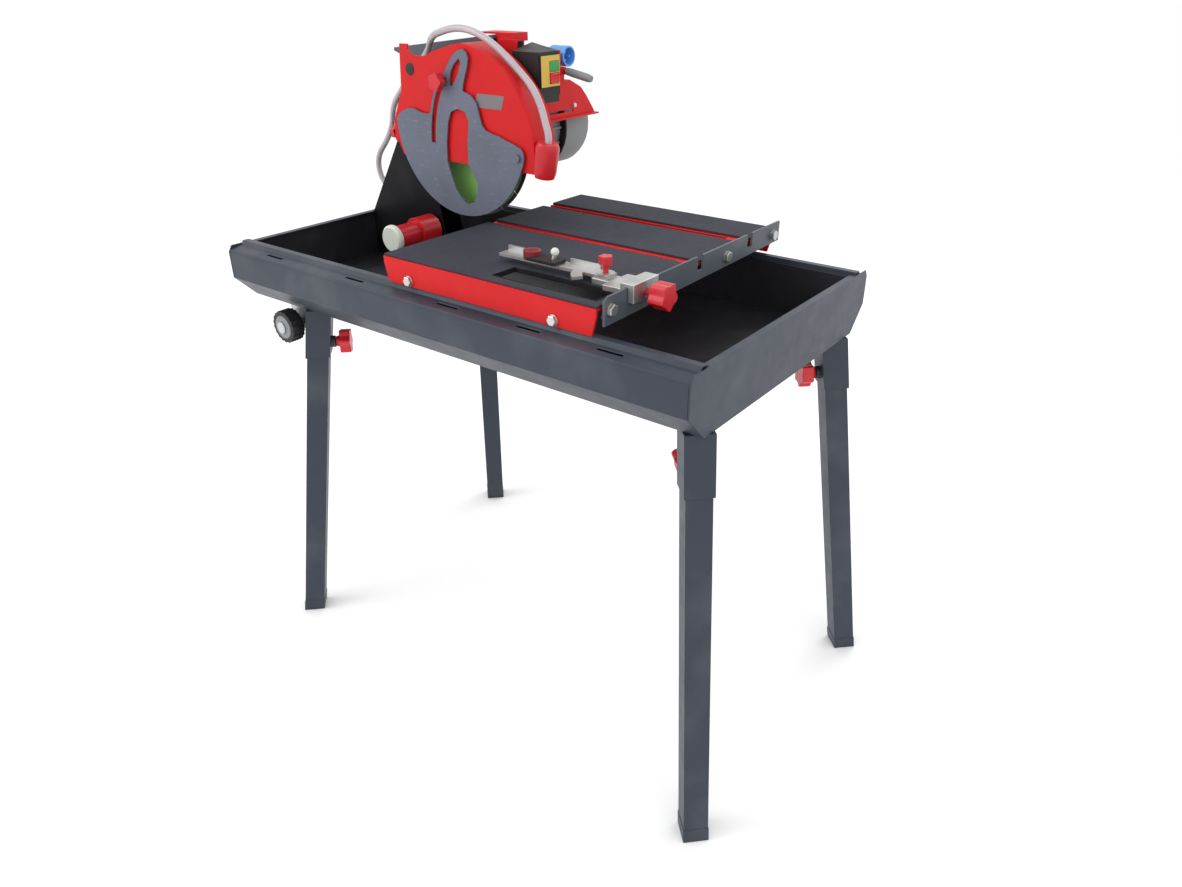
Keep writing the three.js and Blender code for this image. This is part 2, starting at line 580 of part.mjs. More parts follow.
// ---------------------------------------------------------------- plunging head
const plunge = group(head, "plunge_group");
const armTop = [[-402, 1213], [-402, 1217], [-128, 1250], [-128, 1246]];
const armSide = [
  [-402, 1211], [-402, 1217], [-128, 1250], [-128, 1222], [-236, 1200], [-236, 1150], [-262, 1092],
  [-318, 1092], [-314, 1152], [-350, 1194],
];
const armReach = [
  [-262, 1092], [-236, 1000], [-190, 984], [-102, 984], [-72, 1030], [-72, 1100], [-100, 1150],
  [-128, 1250], [-260, 1234],
];
const armPin = rod(10, ARM_Y0 + 1, ARM_Y1 - 1, Y, [PLUNGE[0], 0, PLUNGE[1]], 20);
const armBody = join(
  alongY(armTop, ARM_Y0, ARM_Y1),
  alongY(armSide, ARM_Y0, ARM_Y0 + 4),
  alongY(armSide, ARM_Y1 - 4, ARM_Y1),
  alongY(armReach, ARM_Y0, ARM_Y0 + 4),
  armPin,
);
const spindlePass = rod(30, 40, 70, Y, [SPINDLE_X, 0, SPINDLE_Z], 20);
mesh(plunge, "swing_arm", cut(armBody, spindlePass), ARM_GREY);

const guardArc = arc(...GUARD_C, GUARD_R, GUARD_START, 84, 24);
const guardOutline = [
  ...guardArc, [-152, 1237], [-180, 1230], [-204, 1223], [-223, 1215], [-254, 1215], [-269, 1225],
  [-266, 1234], [-290, 1234], [-297, 1150],
  [-316, 1108], [-326, 1092], [-322, 1062], [-306, GUARD_LOW],
];
const guardPocket = [
  ...arc(...GUARD_C, GUARD_R - 2.5, GUARD_START - 1, 92, 26), [-200, 1260], [-340, 1260], [-340, 1000],
  [40, 1000],
];
const guardSpacer = tube(42, 32, GUARD_Y1 - 1, ARM_Y0 - GAP, Y, [SPINDLE_X, 0, SPINDLE_Z], 24);
const guardShell = cut(
  alongY(guardOutline, GUARD_Y0, GUARD_Y1),
  alongY(guardPocket, GUARD_Y0 + 2.5, GUARD_Y1 - 2.5),
  box(-400, -215, GUARD_Y0 + 2.5, GUARD_Y1 + 1, 1000, 1300),
  rod(32, 20, 40, Y, [SPINDLE_X, 0, SPINDLE_Z], 24),
  rod(11.5, -40, -20, Y, [-266.5, 0, 1190], 20),
  rod(7.6, -50, 60, Y, [FLAP_PIVOT[0], 0, FLAP_PIVOT[1]], 16),
);
mesh(plunge, "guard", join(guardShell, guardSpacer), RED_PAINT);

const noseAxis = new THREE.Vector3(0.2, 0, 1);
const noseProfile = [[0, 0], [20, 0], [22.5, 12], [22.5, 54], [19, 62], [0, 62]];
const noseBlock = turned(noseProfile, noseAxis, [44, -12, 1023], 24);
const nose = cut(
  noseBlock,
  alongY([...arc(...GUARD_C, GUARD_R + GAP, -20, 40, 20), [-146, 1055]], -60, 60),
  rod(7, -8, 30, noseAxis, [56, -12, 1076], 12),
);
mesh(plunge, "water_nozzle", nose, RED_PLASTIC);

// spindle, flanges and disc
const rotor = group(plunge, "rotor_group");
const spindle = turned([
  [0, -24], [11, -24], [11, -9], [36, -8], [36, -1.6], [12, -1.6], [12, 1.6], [36, 1.6], [36, 9], [20, 10],
  [20, 55.9], [0, 55.9],
], Y, [SPINDLE_X, 0, SPINDLE_Z], 28);
mesh(rotor, "spindle", spindle, ZINC);
const bladeSteps = 72;
const bladeOutline = [];
for (let i = 0; i < bladeSteps; i += 1) {
  const a = (i / bladeSteps) * Math.PI * 2;
  const r = i % 4 === 0 ? BLADE_R - 7 : BLADE_R;
  bladeOutline.push([SPINDLE_X + r * Math.cos(a), SPINDLE_Z + r * Math.sin(a)]);
}
const bladeBore = ring(SPINDLE_X, SPINDLE_Z, 12.4, 28);
mesh(rotor, "blade", alongY(bladeOutline, -1.3, 1.3, [bladeBore]), BLADE_GREEN);

// swinging side cover: slotted plate pivoted at the front of the guard
const flapOutline = [
  ...arc(...FLAP_C, FLAP_R, 344, 180, 34), [-303, 1106], [-296, 1111], [-278, 1119], [-259, 1120],
  [-242, 1115], [-224, 1113],
  ...arc(...FLAP_PIVOT, FLAP_SLOT_R + 11.5, 164.5, 147, 7),
  [-170, 1188], [-158, 1204], [-146, 1218], [-132, 1228], [-118, 1232], [-109, 1227], [-105, 1217],
  [-108, 1204], [-115, 1188], [-121, 1173], [-124, 1161],
  [-103, 1154], [-91, 1142], [-84, 1118], [-80, 1105], [-71, 1096], [-56, 1092], [-40, 1089], [-22, 1083],
  [-3, 1078], [13, 1072], [19, 1065],
];
const slotOutline = arc(...FLAP_PIVOT, FLAP_SLOT_R + 6, 143.6, 178.2, 16)
  .concat(arc(...FLAP_PIVOT, FLAP_SLOT_R - 6, 178.2, 143.6, 16));
const windowOutline = [
  [-140, 1129], [-158, 1122], [-167, 1104], [-175, 1067], [-177, 1030], [-170, 1007], [-158, 979],
  [-141, 960], [-126, 954], [-111, 961], [-102, 979], [-100, 997], [-113, 1019], [-121, 1031],
  [-119, 1072], [-113, 1108], [-121, 1125],
];
const strapHole = [
  [-128, 1216], [-124, 1209], [-131, 1192], [-141, 1178], [-150, 1168], [-156, 1168], [-156, 1177],
  [-150, 1194], [-141, 1206],
];
const flapOpenings = [slotOutline, windowOutline, strapHole].map((hole) => alongY(hole, -40, -33));
const flapPin = rod(7, -42, -29, Y, [FLAP_PIVOT[0], 0, FLAP_PIVOT[1]], 16);
mesh(plunge, "flap", cut(join(alongY(flapOutline, -38, -35), flapPin), ...flapOpenings), FLAP_GREY);
const knobAngle = THREE.MathUtils.degToRad(146.3);
const flapKnobAt = [
  FLAP_PIVOT[0] + FLAP_SLOT_R * Math.cos(knobAngle), 0, FLAP_PIVOT[1] + FLAP_SLOT_R * Math.sin(knobAngle),
];
const flapKnob = lobedKnob(17, 46, 60, 4.5, 32 + GAP, Y.clone().negate(), flapKnobAt, 5);
mesh(plunge, "flap_knob", flapKnob, RED_PLASTIC);

// motor
const motor = group(plunge, "motor_group");
const fins = [];
for (let i = 0; i < 16; i += 1) {
  const a = (i / 16) * Math.PI * 2;
  fins.push(box(70, 79, 72, 180, -2, 2).applyMatrix4(
    new THREE.Matrix4().makeRotationY(a).setPosition(SPINDLE_X, 0, SPINDLE_Z),
  ));
}
const motorBody = join(
  turned([[24, 56 + GAP], [84, 56 + GAP], [84, 70], [74, 74], [74, 182], [24, 182]], Y,
    [SPINDLE_X, 0, SPINDLE_Z], 32),
  ...fins,
);
mesh(motor, "motor_body", motorBody, MOTOR_GREY);
mesh(motor, "motor_ring", turned([[24, 182 + GAP], [87, 182 + GAP], [89, 185], [87, 189], [24, 189]], Y,
  [SPINDLE_X, 0, SPINDLE_Z], 32), BLACK_PLASTIC);
mesh(motor, "motor_cowl", turned(
  [[0, 189 + GAP], [85, 189 + GAP], [85, 256], [81, 267], [71, 272], [0, 272]], Y,
  [SPINDLE_X, 0, SPINDLE_Z], 32,
), MOTOR_GREY);

// red bracket carrying the switch box, the guide grip and the hood over the motor's front
const hoodOutline = [
  [98, 1096], [261, 1096], [256, 1104], [247, 1115], [234, 1131], [215, 1150], [183, 1165], [98, 1172],
];
const headBracket = cut(
  join(
    alongX(hoodOutline, -49, -45.5),
    box(-49, -38, 98, 265, 1095, 1098),
    box(-66, -45.5, 98, 182, 1163, 1166),
    box(-66, -4, 98, 102, 1150, 1226),
    box(-127.6, -82, 62, 102, 1242, 1254),
    box(-164, -100, 62, 102, 1250.6, 1254),
    box(-118, -72, 56 + GAP, 61, 1162, 1243),
    box(-118, -64.4, 58, 102, 1162, 1167),
    box(-118, -82, 56 + GAP, 102, 1239, 1243),
    rod(7, 0, 12, X, [-14, 112, 1190], 16),
    box(-14, -4, 100, 112, 1165, 1196),
    rod(4, 0, 58, GRIP_AXIS, GRIP_AT, 12),
  ),
  box(-60, -40, 104, 190, 1106.5, 1111.5),
);
mesh(plunge, "head_bracket", headBracket, RED_PAINT);
const gripProfile = [[4.3, 8], [6.6, 8], [7.2, 20], [7.2, 58], [5.8, 67], [0, 67], [0, 59], [4.3, 59]];
mesh(plunge, "grip", turned(gripProfile, GRIP_AXIS, GRIP_AT, 20), MOTOR_GREY);

const control = group(plunge, "switch_group");
const buttonY = 74.5;
const switchBox = join(
  cut(
    box(-64, -1, 35, 92, 1139, 1241),
    alongX([[34, 1226], [93, 1238], [93, 1250], [34, 1250]], -65, 0),
    alongY([[-65, 1238], [0, 1226], [0, 1250], [-65, 1250]], 34, 93),
  ),
  box(-2, 2.5, 37, 91, 1166, 1221),
);
const buttonWells = [1201, 1181].map((z) => box(-8, 5, buttonY - 13.4, buttonY + 13.4, z - 9, z + 9));
mesh(control, "switch_box", cut(switchBox, ...buttonWells), BLACK_PLASTIC);
mesh(control, "button_green", box(-3.5, 4.5, buttonY - 13, buttonY + 13, 1201 - 8.6, 1201 + 8.6),
  GREEN_PLASTIC);
mesh(control, "button_red", box(-3.5, 6, buttonY - 13, buttonY + 13, 1181 - 8.6, 1181 + 8.6),
  RED_PLASTIC);
const inletRim = turned(
  [[0, 0], [14, 0], [14, 22], [18, 24], [18, 62], [15, 62], [15, 40], [0, 40]], X, [-64, 125, 1214], 24,
);
const inletPins = [0, 120, 240].map((deg) => {
  const a = THREE.MathUtils.degToRad(deg);
  return rod(2.2, 38, 56, X, [-64, 125 + 8 * Math.cos(a), 1214 + 8 * Math.sin(a)], 8);
});
const inletBlock = box(-62, -46, 102 + GAP, 112, 1204, 1224);
mesh(control, "power_inlet", join(inletRim, inletBlock, ...inletPins), BLUE_PLASTIC);

const HEAD_ROUTE = [
  [-239, 5.4, 1243.3], [-228, -0.2, 1247.6], [-214, -5, 1252], [-184, -5, 1260], [-155, -5, 1263],
  [-126, -5, 1260], [-93, -5, 1250], [-57, -5, 1231], [-15, -6, 1202],
  [17, -7, 1175], [38, -9, 1146], [50, -11, 1118], [57.5, -12, 1096], [56.6, -12, 1078],
];
mesh(plunge, "hose_head", hose(HEAD_ROUTE, HOSE_R, 40, 8), CLEAR_HOSE);
// stretch that flexes as the head is lifted, from the clip on the bracket to the top of the guard
const LINK_ROUTE = [
  [-346.7, 40, 1165.3], [-331, 40, 1179], [-315, 40, 1192.8], [-300, 39.5, 1205.6], [-286, 35.8, 1216.6],
  [-272, 28, 1226], [-256, 16.6, 1235.6], [-240.2, 6.1, 1242.8],
];
mesh(plunge, "hose_link", hose(LINK_ROUTE, HOSE_R, 12, 8), CLEAR_HOSE);

export default saw;
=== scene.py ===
import json
import math

import bmesh
import bpy
from mathutils import Matrix, Vector


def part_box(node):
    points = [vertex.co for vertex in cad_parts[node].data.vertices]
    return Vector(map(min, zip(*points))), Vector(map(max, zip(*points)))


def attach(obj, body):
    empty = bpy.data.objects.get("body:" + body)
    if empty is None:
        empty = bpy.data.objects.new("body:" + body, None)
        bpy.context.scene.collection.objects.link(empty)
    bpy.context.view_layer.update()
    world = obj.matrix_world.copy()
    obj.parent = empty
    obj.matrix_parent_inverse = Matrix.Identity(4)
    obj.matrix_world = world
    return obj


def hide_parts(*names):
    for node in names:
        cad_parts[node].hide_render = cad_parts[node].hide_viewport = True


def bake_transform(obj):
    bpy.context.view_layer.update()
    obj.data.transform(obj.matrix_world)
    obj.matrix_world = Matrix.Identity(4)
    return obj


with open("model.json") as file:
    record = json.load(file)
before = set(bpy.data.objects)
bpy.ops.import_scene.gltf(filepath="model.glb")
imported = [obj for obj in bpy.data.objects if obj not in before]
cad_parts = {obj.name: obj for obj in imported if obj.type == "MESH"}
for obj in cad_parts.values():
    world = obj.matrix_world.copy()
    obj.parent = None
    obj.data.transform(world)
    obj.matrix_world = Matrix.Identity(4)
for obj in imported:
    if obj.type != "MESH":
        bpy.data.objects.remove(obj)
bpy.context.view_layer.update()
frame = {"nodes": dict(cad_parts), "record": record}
NODES = frame["nodes"]
BODY_OF = {n: b for b, members in frame["record"]["behaviour"]["bodies"].items() for n in members}
SLOT_OF = {s["node"]: s["material_slot"] for s in frame["record"]["subparts"]}

# the tray's centre line, from which the drawing's lengthwise places are measured
rail_low, rail_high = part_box("rail_near")
TRAY_X = (rail_low.x + rail_high.x) / 2


def place(x, y, z):
    """A point given in millimetres from the tray's centre, on the floor, in the row frame in metres."""
    return Vector((TRAY_X + x / 1000, y / 1000, z / 1000))


# ---------------------------------------------------------------- camera
CAMERA_AT = place(1128.16, -1284.67, 1365.55)
CAMERA_YAW = math.radians(37.565)
CAMERA_PITCH = math.radians(28.208)
CAMERA_ROLL = math.radians(-0.323)
CAMERA_LENS = 27.25


def make_camera():
    forward = Vector((-math.sin(CAMERA_YAW) * math.cos(CAMERA_PITCH),
                      math.cos(CAMERA_YAW) * math.cos(CAMERA_PITCH), -math.sin(CAMERA_PITCH)))
    level = Vector((math.cos(CAMERA_YAW), math.sin(CAMERA_YAW), 0))
    upright = level.cross(forward)
    right = math.cos(CAMERA_ROLL) * level + math.sin(CAMERA_ROLL) * upright
    up = -math.sin(CAMERA_ROLL) * level + math.cos(CAMERA_ROLL) * upright
    data = bpy.data.cameras.new("camera")
    data.lens = CAMERA_LENS
    data.sensor_width = 36
    camera = bpy.data.objects.new("camera", data)
    camera.matrix_world = Matrix((
        (right.x, up.x, -forward.x, CAMERA_AT.x),
        (right.y, up.y, -forward.y, CAMERA_AT.y),
        (right.z, up.z, -forward.z, CAMERA_AT.z),
        (0, 0, 0, 1),
    ))
    bpy.context.scene.collection.objects.link(camera)
    bpy.context.scene.camera = camera


make_camera()

# ---------------------------------------------------------------- mesh helpers


def new_object(name, mesh):
    obj = bpy.data.objects.new(name, mesh)
    bpy.context.scene.collection.objects.link(obj)
    return obj


def from_bmesh(name, bm):
    bmesh.ops.recalc_face_normals(bm, faces=bm.faces)
    mesh = bpy.data.meshes.new(name)
    bm.to_mesh(mesh)
    bm.free()
    return new_object(name, mesh)


def apply_modifiers(obj):
    bpy.context.view_layer.update()
    evaluated = obj.evaluated_get(bpy.context.evaluated_depsgraph_get())
    mesh = bpy.data.meshes.new_from_object(evaluated)
    obj.modifiers.clear()
    obj.data = mesh


def soften(obj, edge, segments=2, angle=33):
    """Rounds every edge sharper than angle by a small radius, and smooths the rest."""
    if edge > 0:
        bevel = obj.modifiers.new("bevel", "BEVEL")
        bevel.width = edge
        bevel.segments = segments
        bevel.limit_method = "ANGLE"
        bevel.angle_limit = math.radians(angle)
        bevel.use_clamp_overlap = True
    obj.data.shade_smooth()
    obj.data.set_sharp_from_angle(angle=math.radians(60))
    weighted = obj.modifiers.new("weighted", "WEIGHTED_NORMAL")
    weighted.keep_sharp = True
    apply_modifiers(obj)


def dress(obj, body, material):
    obj.data.materials.clear()
    obj.data.materials.append(material)
    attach(obj, body)
    return obj


def refined(node, material, edge=0.0008, segments=2, angle=33):
    """A copy of a CAD node with rounded edges and smooth curved faces, which stands for it."""
    bm = bmesh.new()
    bm.from_mesh(NODES[node].data)
    bmesh.ops.remove_doubles(bm, verts=bm.verts, dist=2e-6)
    bmesh.ops.dissolve_limit(bm, angle_limit=math.radians(0.6), verts=bm.verts, edges=bm.edges)
    obj = from_bmesh(f"{node}_finished", bm)
    soften(obj, edge, segments, angle)
    dress(obj, BODY_OF[node], material)
    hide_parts(node)
    return obj


def smooth_path(points, per_span=6):
    """Points on a smooth curve through the given ones."""
    full = [points[0] * 2 - points[1], *points, points[-1] * 2 - points[-2]]
    path = []
    for i in range(1, len(full) - 2):
        a, b, c, d = full[i - 1:i + 3]
        for k in range(per_span):
            t = k / per_span
            path.append(0.5 * ((2 * b) + (c - a) * t + (2 * a - 5 * b + 4 * c - d) * t * t
                               + (3 * b - a - 3 * c + d) * t * t * t))
    path.append(points[-1])
    return path


def tube(name, path, radius, sides=20):
    """A closed round tube along a path, its rings turned as little as they can be."""
    bm = bmesh.new()
    rings = []
    side = None
    for i, point in enumerate(path):
        ahead = path[min(i + 1, len(path) - 1)]
        behind = path[max(i - 1, 0)]
        along = (ahead - behind).normalized()
        if side is None:
            side = along.orthogonal().normalized()
        side = (side - side.dot(along) * along).normalized()
        across = along.cross(side)
        ring = []
        for k in range(sides):
            a = math.tau * k / sides
            ring.append(bm.verts.new(point + radius * (math.cos(a) * side + math.sin(a) * across)))
        rings.append(ring)
    for first, second in zip(rings, rings[1:]):
        for k in range(sides):
            bm.faces.new((first[k], first[(k + 1) % sides], second[(k + 1) % sides], second[k]))
    bm.faces.new(rings[0])
    bm.faces.new(rings[-1])
    obj = from_bmesh(name, bm)
    obj.data.shade_smooth()
    obj.data.set_sharp_from_angle(angle=math.radians(60))
    return obj


def turned(name, profile, at, axis, steps=32):
    """A closed profile of (radius, height) points turned about an axis through a point."""
    bm = bmesh.new()
    turn = Vector((0, 0, 1)).rotation_difference(Vector(axis)).to_matrix()
    rings = []
    for radius, height in profile:
        ring = []
        for k in range(steps):
            a = math.tau * k / steps
            local = Vector((radius * math.cos(a), radius * math.sin(a), height))
            ring.append(bm.verts.new(Vector(at) + turn @ local))
        rings.append(ring)
    for first, second in zip(rings, rings[1:]):
        for k in range(steps):
            bm.faces.new((first[k], first[(k + 1) % steps], second[(k + 1) % steps], second[k]))
    bm.faces.new(rings[0])
    bm.faces.new(rings[-1])
    obj = from_bmesh(name, bm)
    obj.data.shade_smooth()
    obj.data.set_sharp_from_angle(angle=math.radians(40))
    return obj


def plate(name, outline, at, across, upward, thickness):
    """A flat plate: outline in (across, upward) metres from a point, thickened along their normal."""
    bm = bmesh.new()
    across = Vector(across).normalized()
    upward = Vector(upward).normalized()
    normal = across.cross(upward)
    corners = [Vector(at) + u * across + v * upward for u, v in outline]
    low = [bm.verts.new(c) for c in corners]
    high = [bm.verts.new(c + normal * thickness) for c in corners]
    count = len(outline)
    for i in range(count):
        j = (i + 1) % count
        bm.faces.new((low[i], low[j], high[j], high[i]))
    bm.faces.new(low[::-1])
    bm.faces.new(high)
    return from_bmesh(name, bm)


# ---------------------------------------------------------------- materials
# sockets of a Mix node that mixes colours
MIX_FACTOR = 0
MIX_FIRST = 6
MIX_SECOND = 7
MIX_RESULT = 2


class Surface:
    """A principled material with helpers that add procedural variation, in metres of the row frame."""

    def __init__(self, name, colour, roughness, metallic=0.0, **sockets):
        self.material = bpy.data.materials.new(name)
        self.material.use_nodes = True
        self.tree = self.material.node_tree
        self.shader = self.tree.nodes["Principled BSDF"]
        self.shader.inputs["Base Color"].default_value = (*colour, 1)
        self.shader.inputs["Roughness"].default_value = roughness
        self.shader.inputs["Metallic"].default_value = metallic
        for socket, value in sockets.items():
            self.shader.inputs[socket.replace("_", " ")].default_value = value
        self.colour = colour
        self.coords = self.tree.nodes.new("ShaderNodeTexCoord").outputs["Object"]
        self.height = None

    def node(self, kind, **values):
        node = self.tree.nodes.new(kind)
        for key, value in values.items():
            node.inputs[key.replace("_", " ")].default_value = value
        return node

    def noise(self, scale, detail=3.0, stretch=(1, 1, 1)):
        mapping = self.node("ShaderNodeMapping")
        mapping.inputs["Scale"].default_value = stretch
        self.tree.links.new(self.coords, mapping.inputs["Vector"])
        noise = self.node("ShaderNodeTexNoise", Scale=scale, Detail=detail)
        self.tree.links.new(mapping.outputs["Vector"], noise.inputs["Vector"])
        return noise.outputs["Fac"]

    def ramp(self, value, low, high):
        ramp = self.node("ShaderNodeMapRange")
        ramp.inputs["From Min"].default_value = low
        ramp.inputs["From Max"].default_value = high
        self.tree.links.new(value, ramp.inputs["Value"])
        return ramp.outputs["Result"]

    def maths(self, operation, first, second):
        node = self.tree.nodes.new("ShaderNodeMath")
        node.operation = operation
        for socket, value in zip(node.inputs, (first, second)):
            if isinstance(value, (int, float)):
                socket.default_value = value
            else:
                self.tree.links.new(value, socket)
        return node.outputs[0]

    def tint(self, factor, colour, strength=1.0):
        """Mixes another colour in where factor is high."""
        mix = self.tree.nodes.new("ShaderNodeMix")
        mix.data_type = "RGBA"
        base = self.shader.inputs["Base Color"]
        if base.is_linked:
            self.tree.links.new(base.links[0].from_socket, mix.inputs[MIX_FIRST])
        else:
            mix.inputs[MIX_FIRST].default_value = (*self.colour, 1)
        mix.inputs[MIX_SECOND].default_value = (*colour, 1)
        self.tree.links.new(self.maths("MULTIPLY", factor, strength), mix.inputs[MIX_FACTOR])
        self.tree.links.new(mix.outputs[MIX_RESULT], base)
        return self

    def roughen(self, factor, low, high):
        spread = self.node("ShaderNodeMapRange")
        spread.inputs["To Min"].default_value = low
        spread.inputs["To Max"].default_value = high
        self.tree.links.new(factor, spread.inputs["Value"])
        self.tree.links.new(spread.outputs["Result"], self.shader.inputs["Roughness"])
        return self

    def emboss(self, height, distance, strength=1.0):
        bump = self.node("ShaderNodeBump", Strength=strength, Distance=distance)
        self.tree.links.new(height, bump.inputs["Height"])
        normal = self.shader.inputs["Normal"]
        if normal.is_linked:
            self.tree.links.new(normal.links[0].from_socket, bump.inputs["Normal"])
        self.tree.links.new(bump.outputs["Normal"], normal)
        return self


def worn(surface, dust=(0.35, 0.34, 0.33), amount=0.12):
    """Faint dust and dried splashes, patchy over a hand's breadth."""
    patches = surface.ramp(surface.noise(9, 5), 0.48, 0.75)
    return surface.tint(patches, dust, amount)


def powder_coat(name, colour, roughness=0.42, dusty=0.08, specular=0.5):
    s = Surface(name, colour, roughness, Coat_Weight=0.2 * specular, Coat_Roughness=0.35,
                Specular_IOR_Level=specular)
    darker = tuple(c * 0.72 for c in colour)
    s.tint(s.ramp(s.noise(5, 3), 0.35, 0.75), darker, 0.5)
    worn(s, amount=dusty)
    s.roughen(s.noise(40, 4), roughness - 0.09, roughness + 0.13)
    return s.emboss(s.noise(1400, 2), 0.00006, 0.5).material


def moulded(name, colour, roughness=0.35, dusty=0.05, **sockets):
    s = Surface(name, colour, roughness, **sockets)
    s.tint(s.ramp(s.noise(14, 3), 0.4, 0.8), tuple(c * 0.75 for c in colour), 0.4)
    worn(s, amount=dusty)
    s.roughen(s.noise(60, 4), roughness - 0.07, roughness + 0.12)
    return s.emboss(s.noise(2600, 2), 0.00004, 0.4).material


def bare_metal(name, colour, roughness, stretch=(1, 1, 1), grain=500):
    s = Surface(name, colour, roughness, 0.95)
    s.tint(s.ramp(s.noise(24, 4), 0.4, 0.75), tuple(c * 0.6 for c in colour), 0.5)
    s.roughen(s.noise(grain, 3, stretch), roughness - 0.1, roughness + 0.16)
    return s.emboss(s.noise(grain, 3, stretch), 0.00006, 0.45).material


def ribbed_rubber():
    s = Surface("mat_rubber", (0.030, 0.032, 0.046), 0.78, Specular_IOR_Level=0.25)
    s.tint(s.ramp(s.noise(6, 4), 0.4, 0.75), (0.045, 0.048, 0.062), 0.7)
    s.tint(s.ramp(s.noise(420, 2), 0.55, 0.75), (0.07, 0.07, 0.08), 0.35)
    s.roughen(s.noise(90, 4), 0.66, 0.9)
    return s.emboss(s.noise(700, 2), 0.0002, 0.6).material


def tray_coat():
    s = Surface("tray_inside", (0.016, 0.017, 0.022), 0.38, Coat_Weight=0.2, Coat_Roughness=0.3)
    s.tint(s.ramp(s.noise(4, 5), 0.45, 0.75), (0.035, 0.034, 0.045), 0.8)
    s.tint(s.ramp(s.noise(18, 6), 0.55, 0.8), (0.09, 0.09, 0.095), 0.25)
    s.roughen(s.noise(20, 5), 0.25, 0.6)
    return s.emboss(s.noise(700, 2), 0.00006, 0.4).material


def clear_hose():
    s = Surface("clear_hose", (0.52, 0.475, 0.505), 0.25, Transmission_Weight=0.2, IOR=1.38, Coat_Weight=0.3)
    s.tint(s.ramp(s.noise(25, 2), 0.4, 0.7), (0.42, 0.38, 0.41), 0.5)
    return s.roughen(s.noise(40, 2), 0.22, 0.36).material


def flap_paint():
    s = Surface("flap_grey", (0.125, 0.138, 0.190), 0.45, 0.25)
    s.tint(s.ramp(s.noise(11, 5), 0.4, 0.75), (0.085, 0.105, 0.13), 0.6)
    s.tint(s.ramp(s.noise(60, 6, (1, 1, 3)), 0.6, 0.8), (0.32, 0.34, 0.36), 0.4)
    s.roughen(s.noise(50, 5), 0.32, 0.6)
    return s.emboss(s.noise(500, 3), 0.00008, 0.4).material


RED = (0.60, 0.007, 0.009)
M = {
    "grey_paint": powder_coat("grey_paint", (0.032, 0.041, 0.060), specular=0.28),
    "tray_black": tray_coat(),
    "black_plastic": moulded("black_plastic", (0.010, 0.010, 0.012), 0.45, Specular_IOR_Level=0.35),
    "black_paint": powder_coat("black_paint", (0.005, 0.005, 0.007), 0.45, 0.02, 0.12),
    "red_plastic": moulded("red_plastic", (0.56, 0.012, 0.020), 0.32, Coat_Weight=0.1,
                           Specular_IOR_Level=0.4),
    "zinc_steel": bare_metal("zinc_steel", (0.52, 0.54, 0.56), 0.32),
    "white_plastic": moulded("white_plastic", (0.68, 0.72, 0.64), 0.55, 0.2),
    "clear_hose": clear_hose(),
    "red_paint": powder_coat("red_paint", RED, 0.45, 0.015, 0.2),
    "mat_rubber": ribbed_rubber(),
    "arm_grey": powder_coat("arm_grey", (0.075, 0.090, 0.110), 0.42, specular=0.35),
    "cast_aluminium": bare_metal("cast_aluminium", (0.55, 0.56, 0.55), 0.42, grain=260),
    "disc_green": powder_coat("disc_green", (0.25, 0.54, 0.13), 0.4, 0.08),
    "flap_grey": flap_paint(),
    "motor_grey": powder_coat("motor_grey", (0.21, 0.22, 0.225), 0.5, 0.1),
    "cowl_grey": moulded("cowl_grey", (0.21, 0.22, 0.225), 0.5, 0.1),
    "green_plastic": moulded("green_plastic", (0.03, 0.28, 0.07), 0.35),
    "blue_plastic": moulded("blue_plastic", (0.10, 0.33, 0.74), 0.4),
}
YELLOW = moulded("yellow_plastic", (0.62, 0.40, 0.05), 0.4)
STICKER = moulded("plain_sticker", (0.17, 0.15, 0.16), 0.4)
DARK_RED = moulded("dark_red_plastic", (0.20, 0.006, 0.012), 0.35)
SEGMENT = bare_metal("segment_metal", (0.14, 0.135, 0.125), 0.6, grain=900)
BOLT = bare_metal("bolt_zinc", (0.60, 0.60, 0.58), 0.3, grain=900)

# ---------------------------------------------------------------- hoses
HOSE_R = 0.0063


def route(*points):
    return [place(*p) for p in points]


LOOP = route(
    (-522.3, 98, 917.2), (-531.4, 98, 923.1), (-539.3, 98, 933.5), (-544.3, 98, 945.6), (-546, 98, 958.5),
    (-544.3, 98, 971.4), (-539.3, 98, 983.5), (-531, 97.5, 994.5), (-512, 96, 1013), (-490, 91, 1034),
    (-468, 82, 1056), (-447, 69, 1076), (-427, 56, 1096), (-406, 46, 1114), (-385, 41.5, 1132),
    (-368, 40.3, 1146.6), (-347, 40, 1165),
)
LINK = route(
    (-346.7, 40, 1165.3), (-331, 40, 1179), (-315, 40, 1192.8), (-300, 39.5, 1205.6), (-286, 35.8, 1216.6),
    (-272, 28, 1226), (-256, 16.6, 1235.6), (-240.2, 6.1, 1242.8),
)
HEAD = route(
    (-239, 5.4, 1243.3), (-228, -0.2, 1247.6), (-214, -5, 1252), (-184, -5, 1260), (-155, -5, 1263),
    (-126, -5, 1260), (-93, -5, 1250), (-57, -5, 1231), (-15, -6, 1202),
    (17, -7, 1175), (38, -9, 1146), (50, -11, 1118), (57.5, -12, 1096), (56.6, -12, 1078),
)
SUPPLY = route(
    (-342, 69.5, 855), (-344, 84, 856), (-372, 97, 860), (-420, 98, 872), (-470, 98, 890), (-500, 98, 904),
    (-522, 98, 917),
)


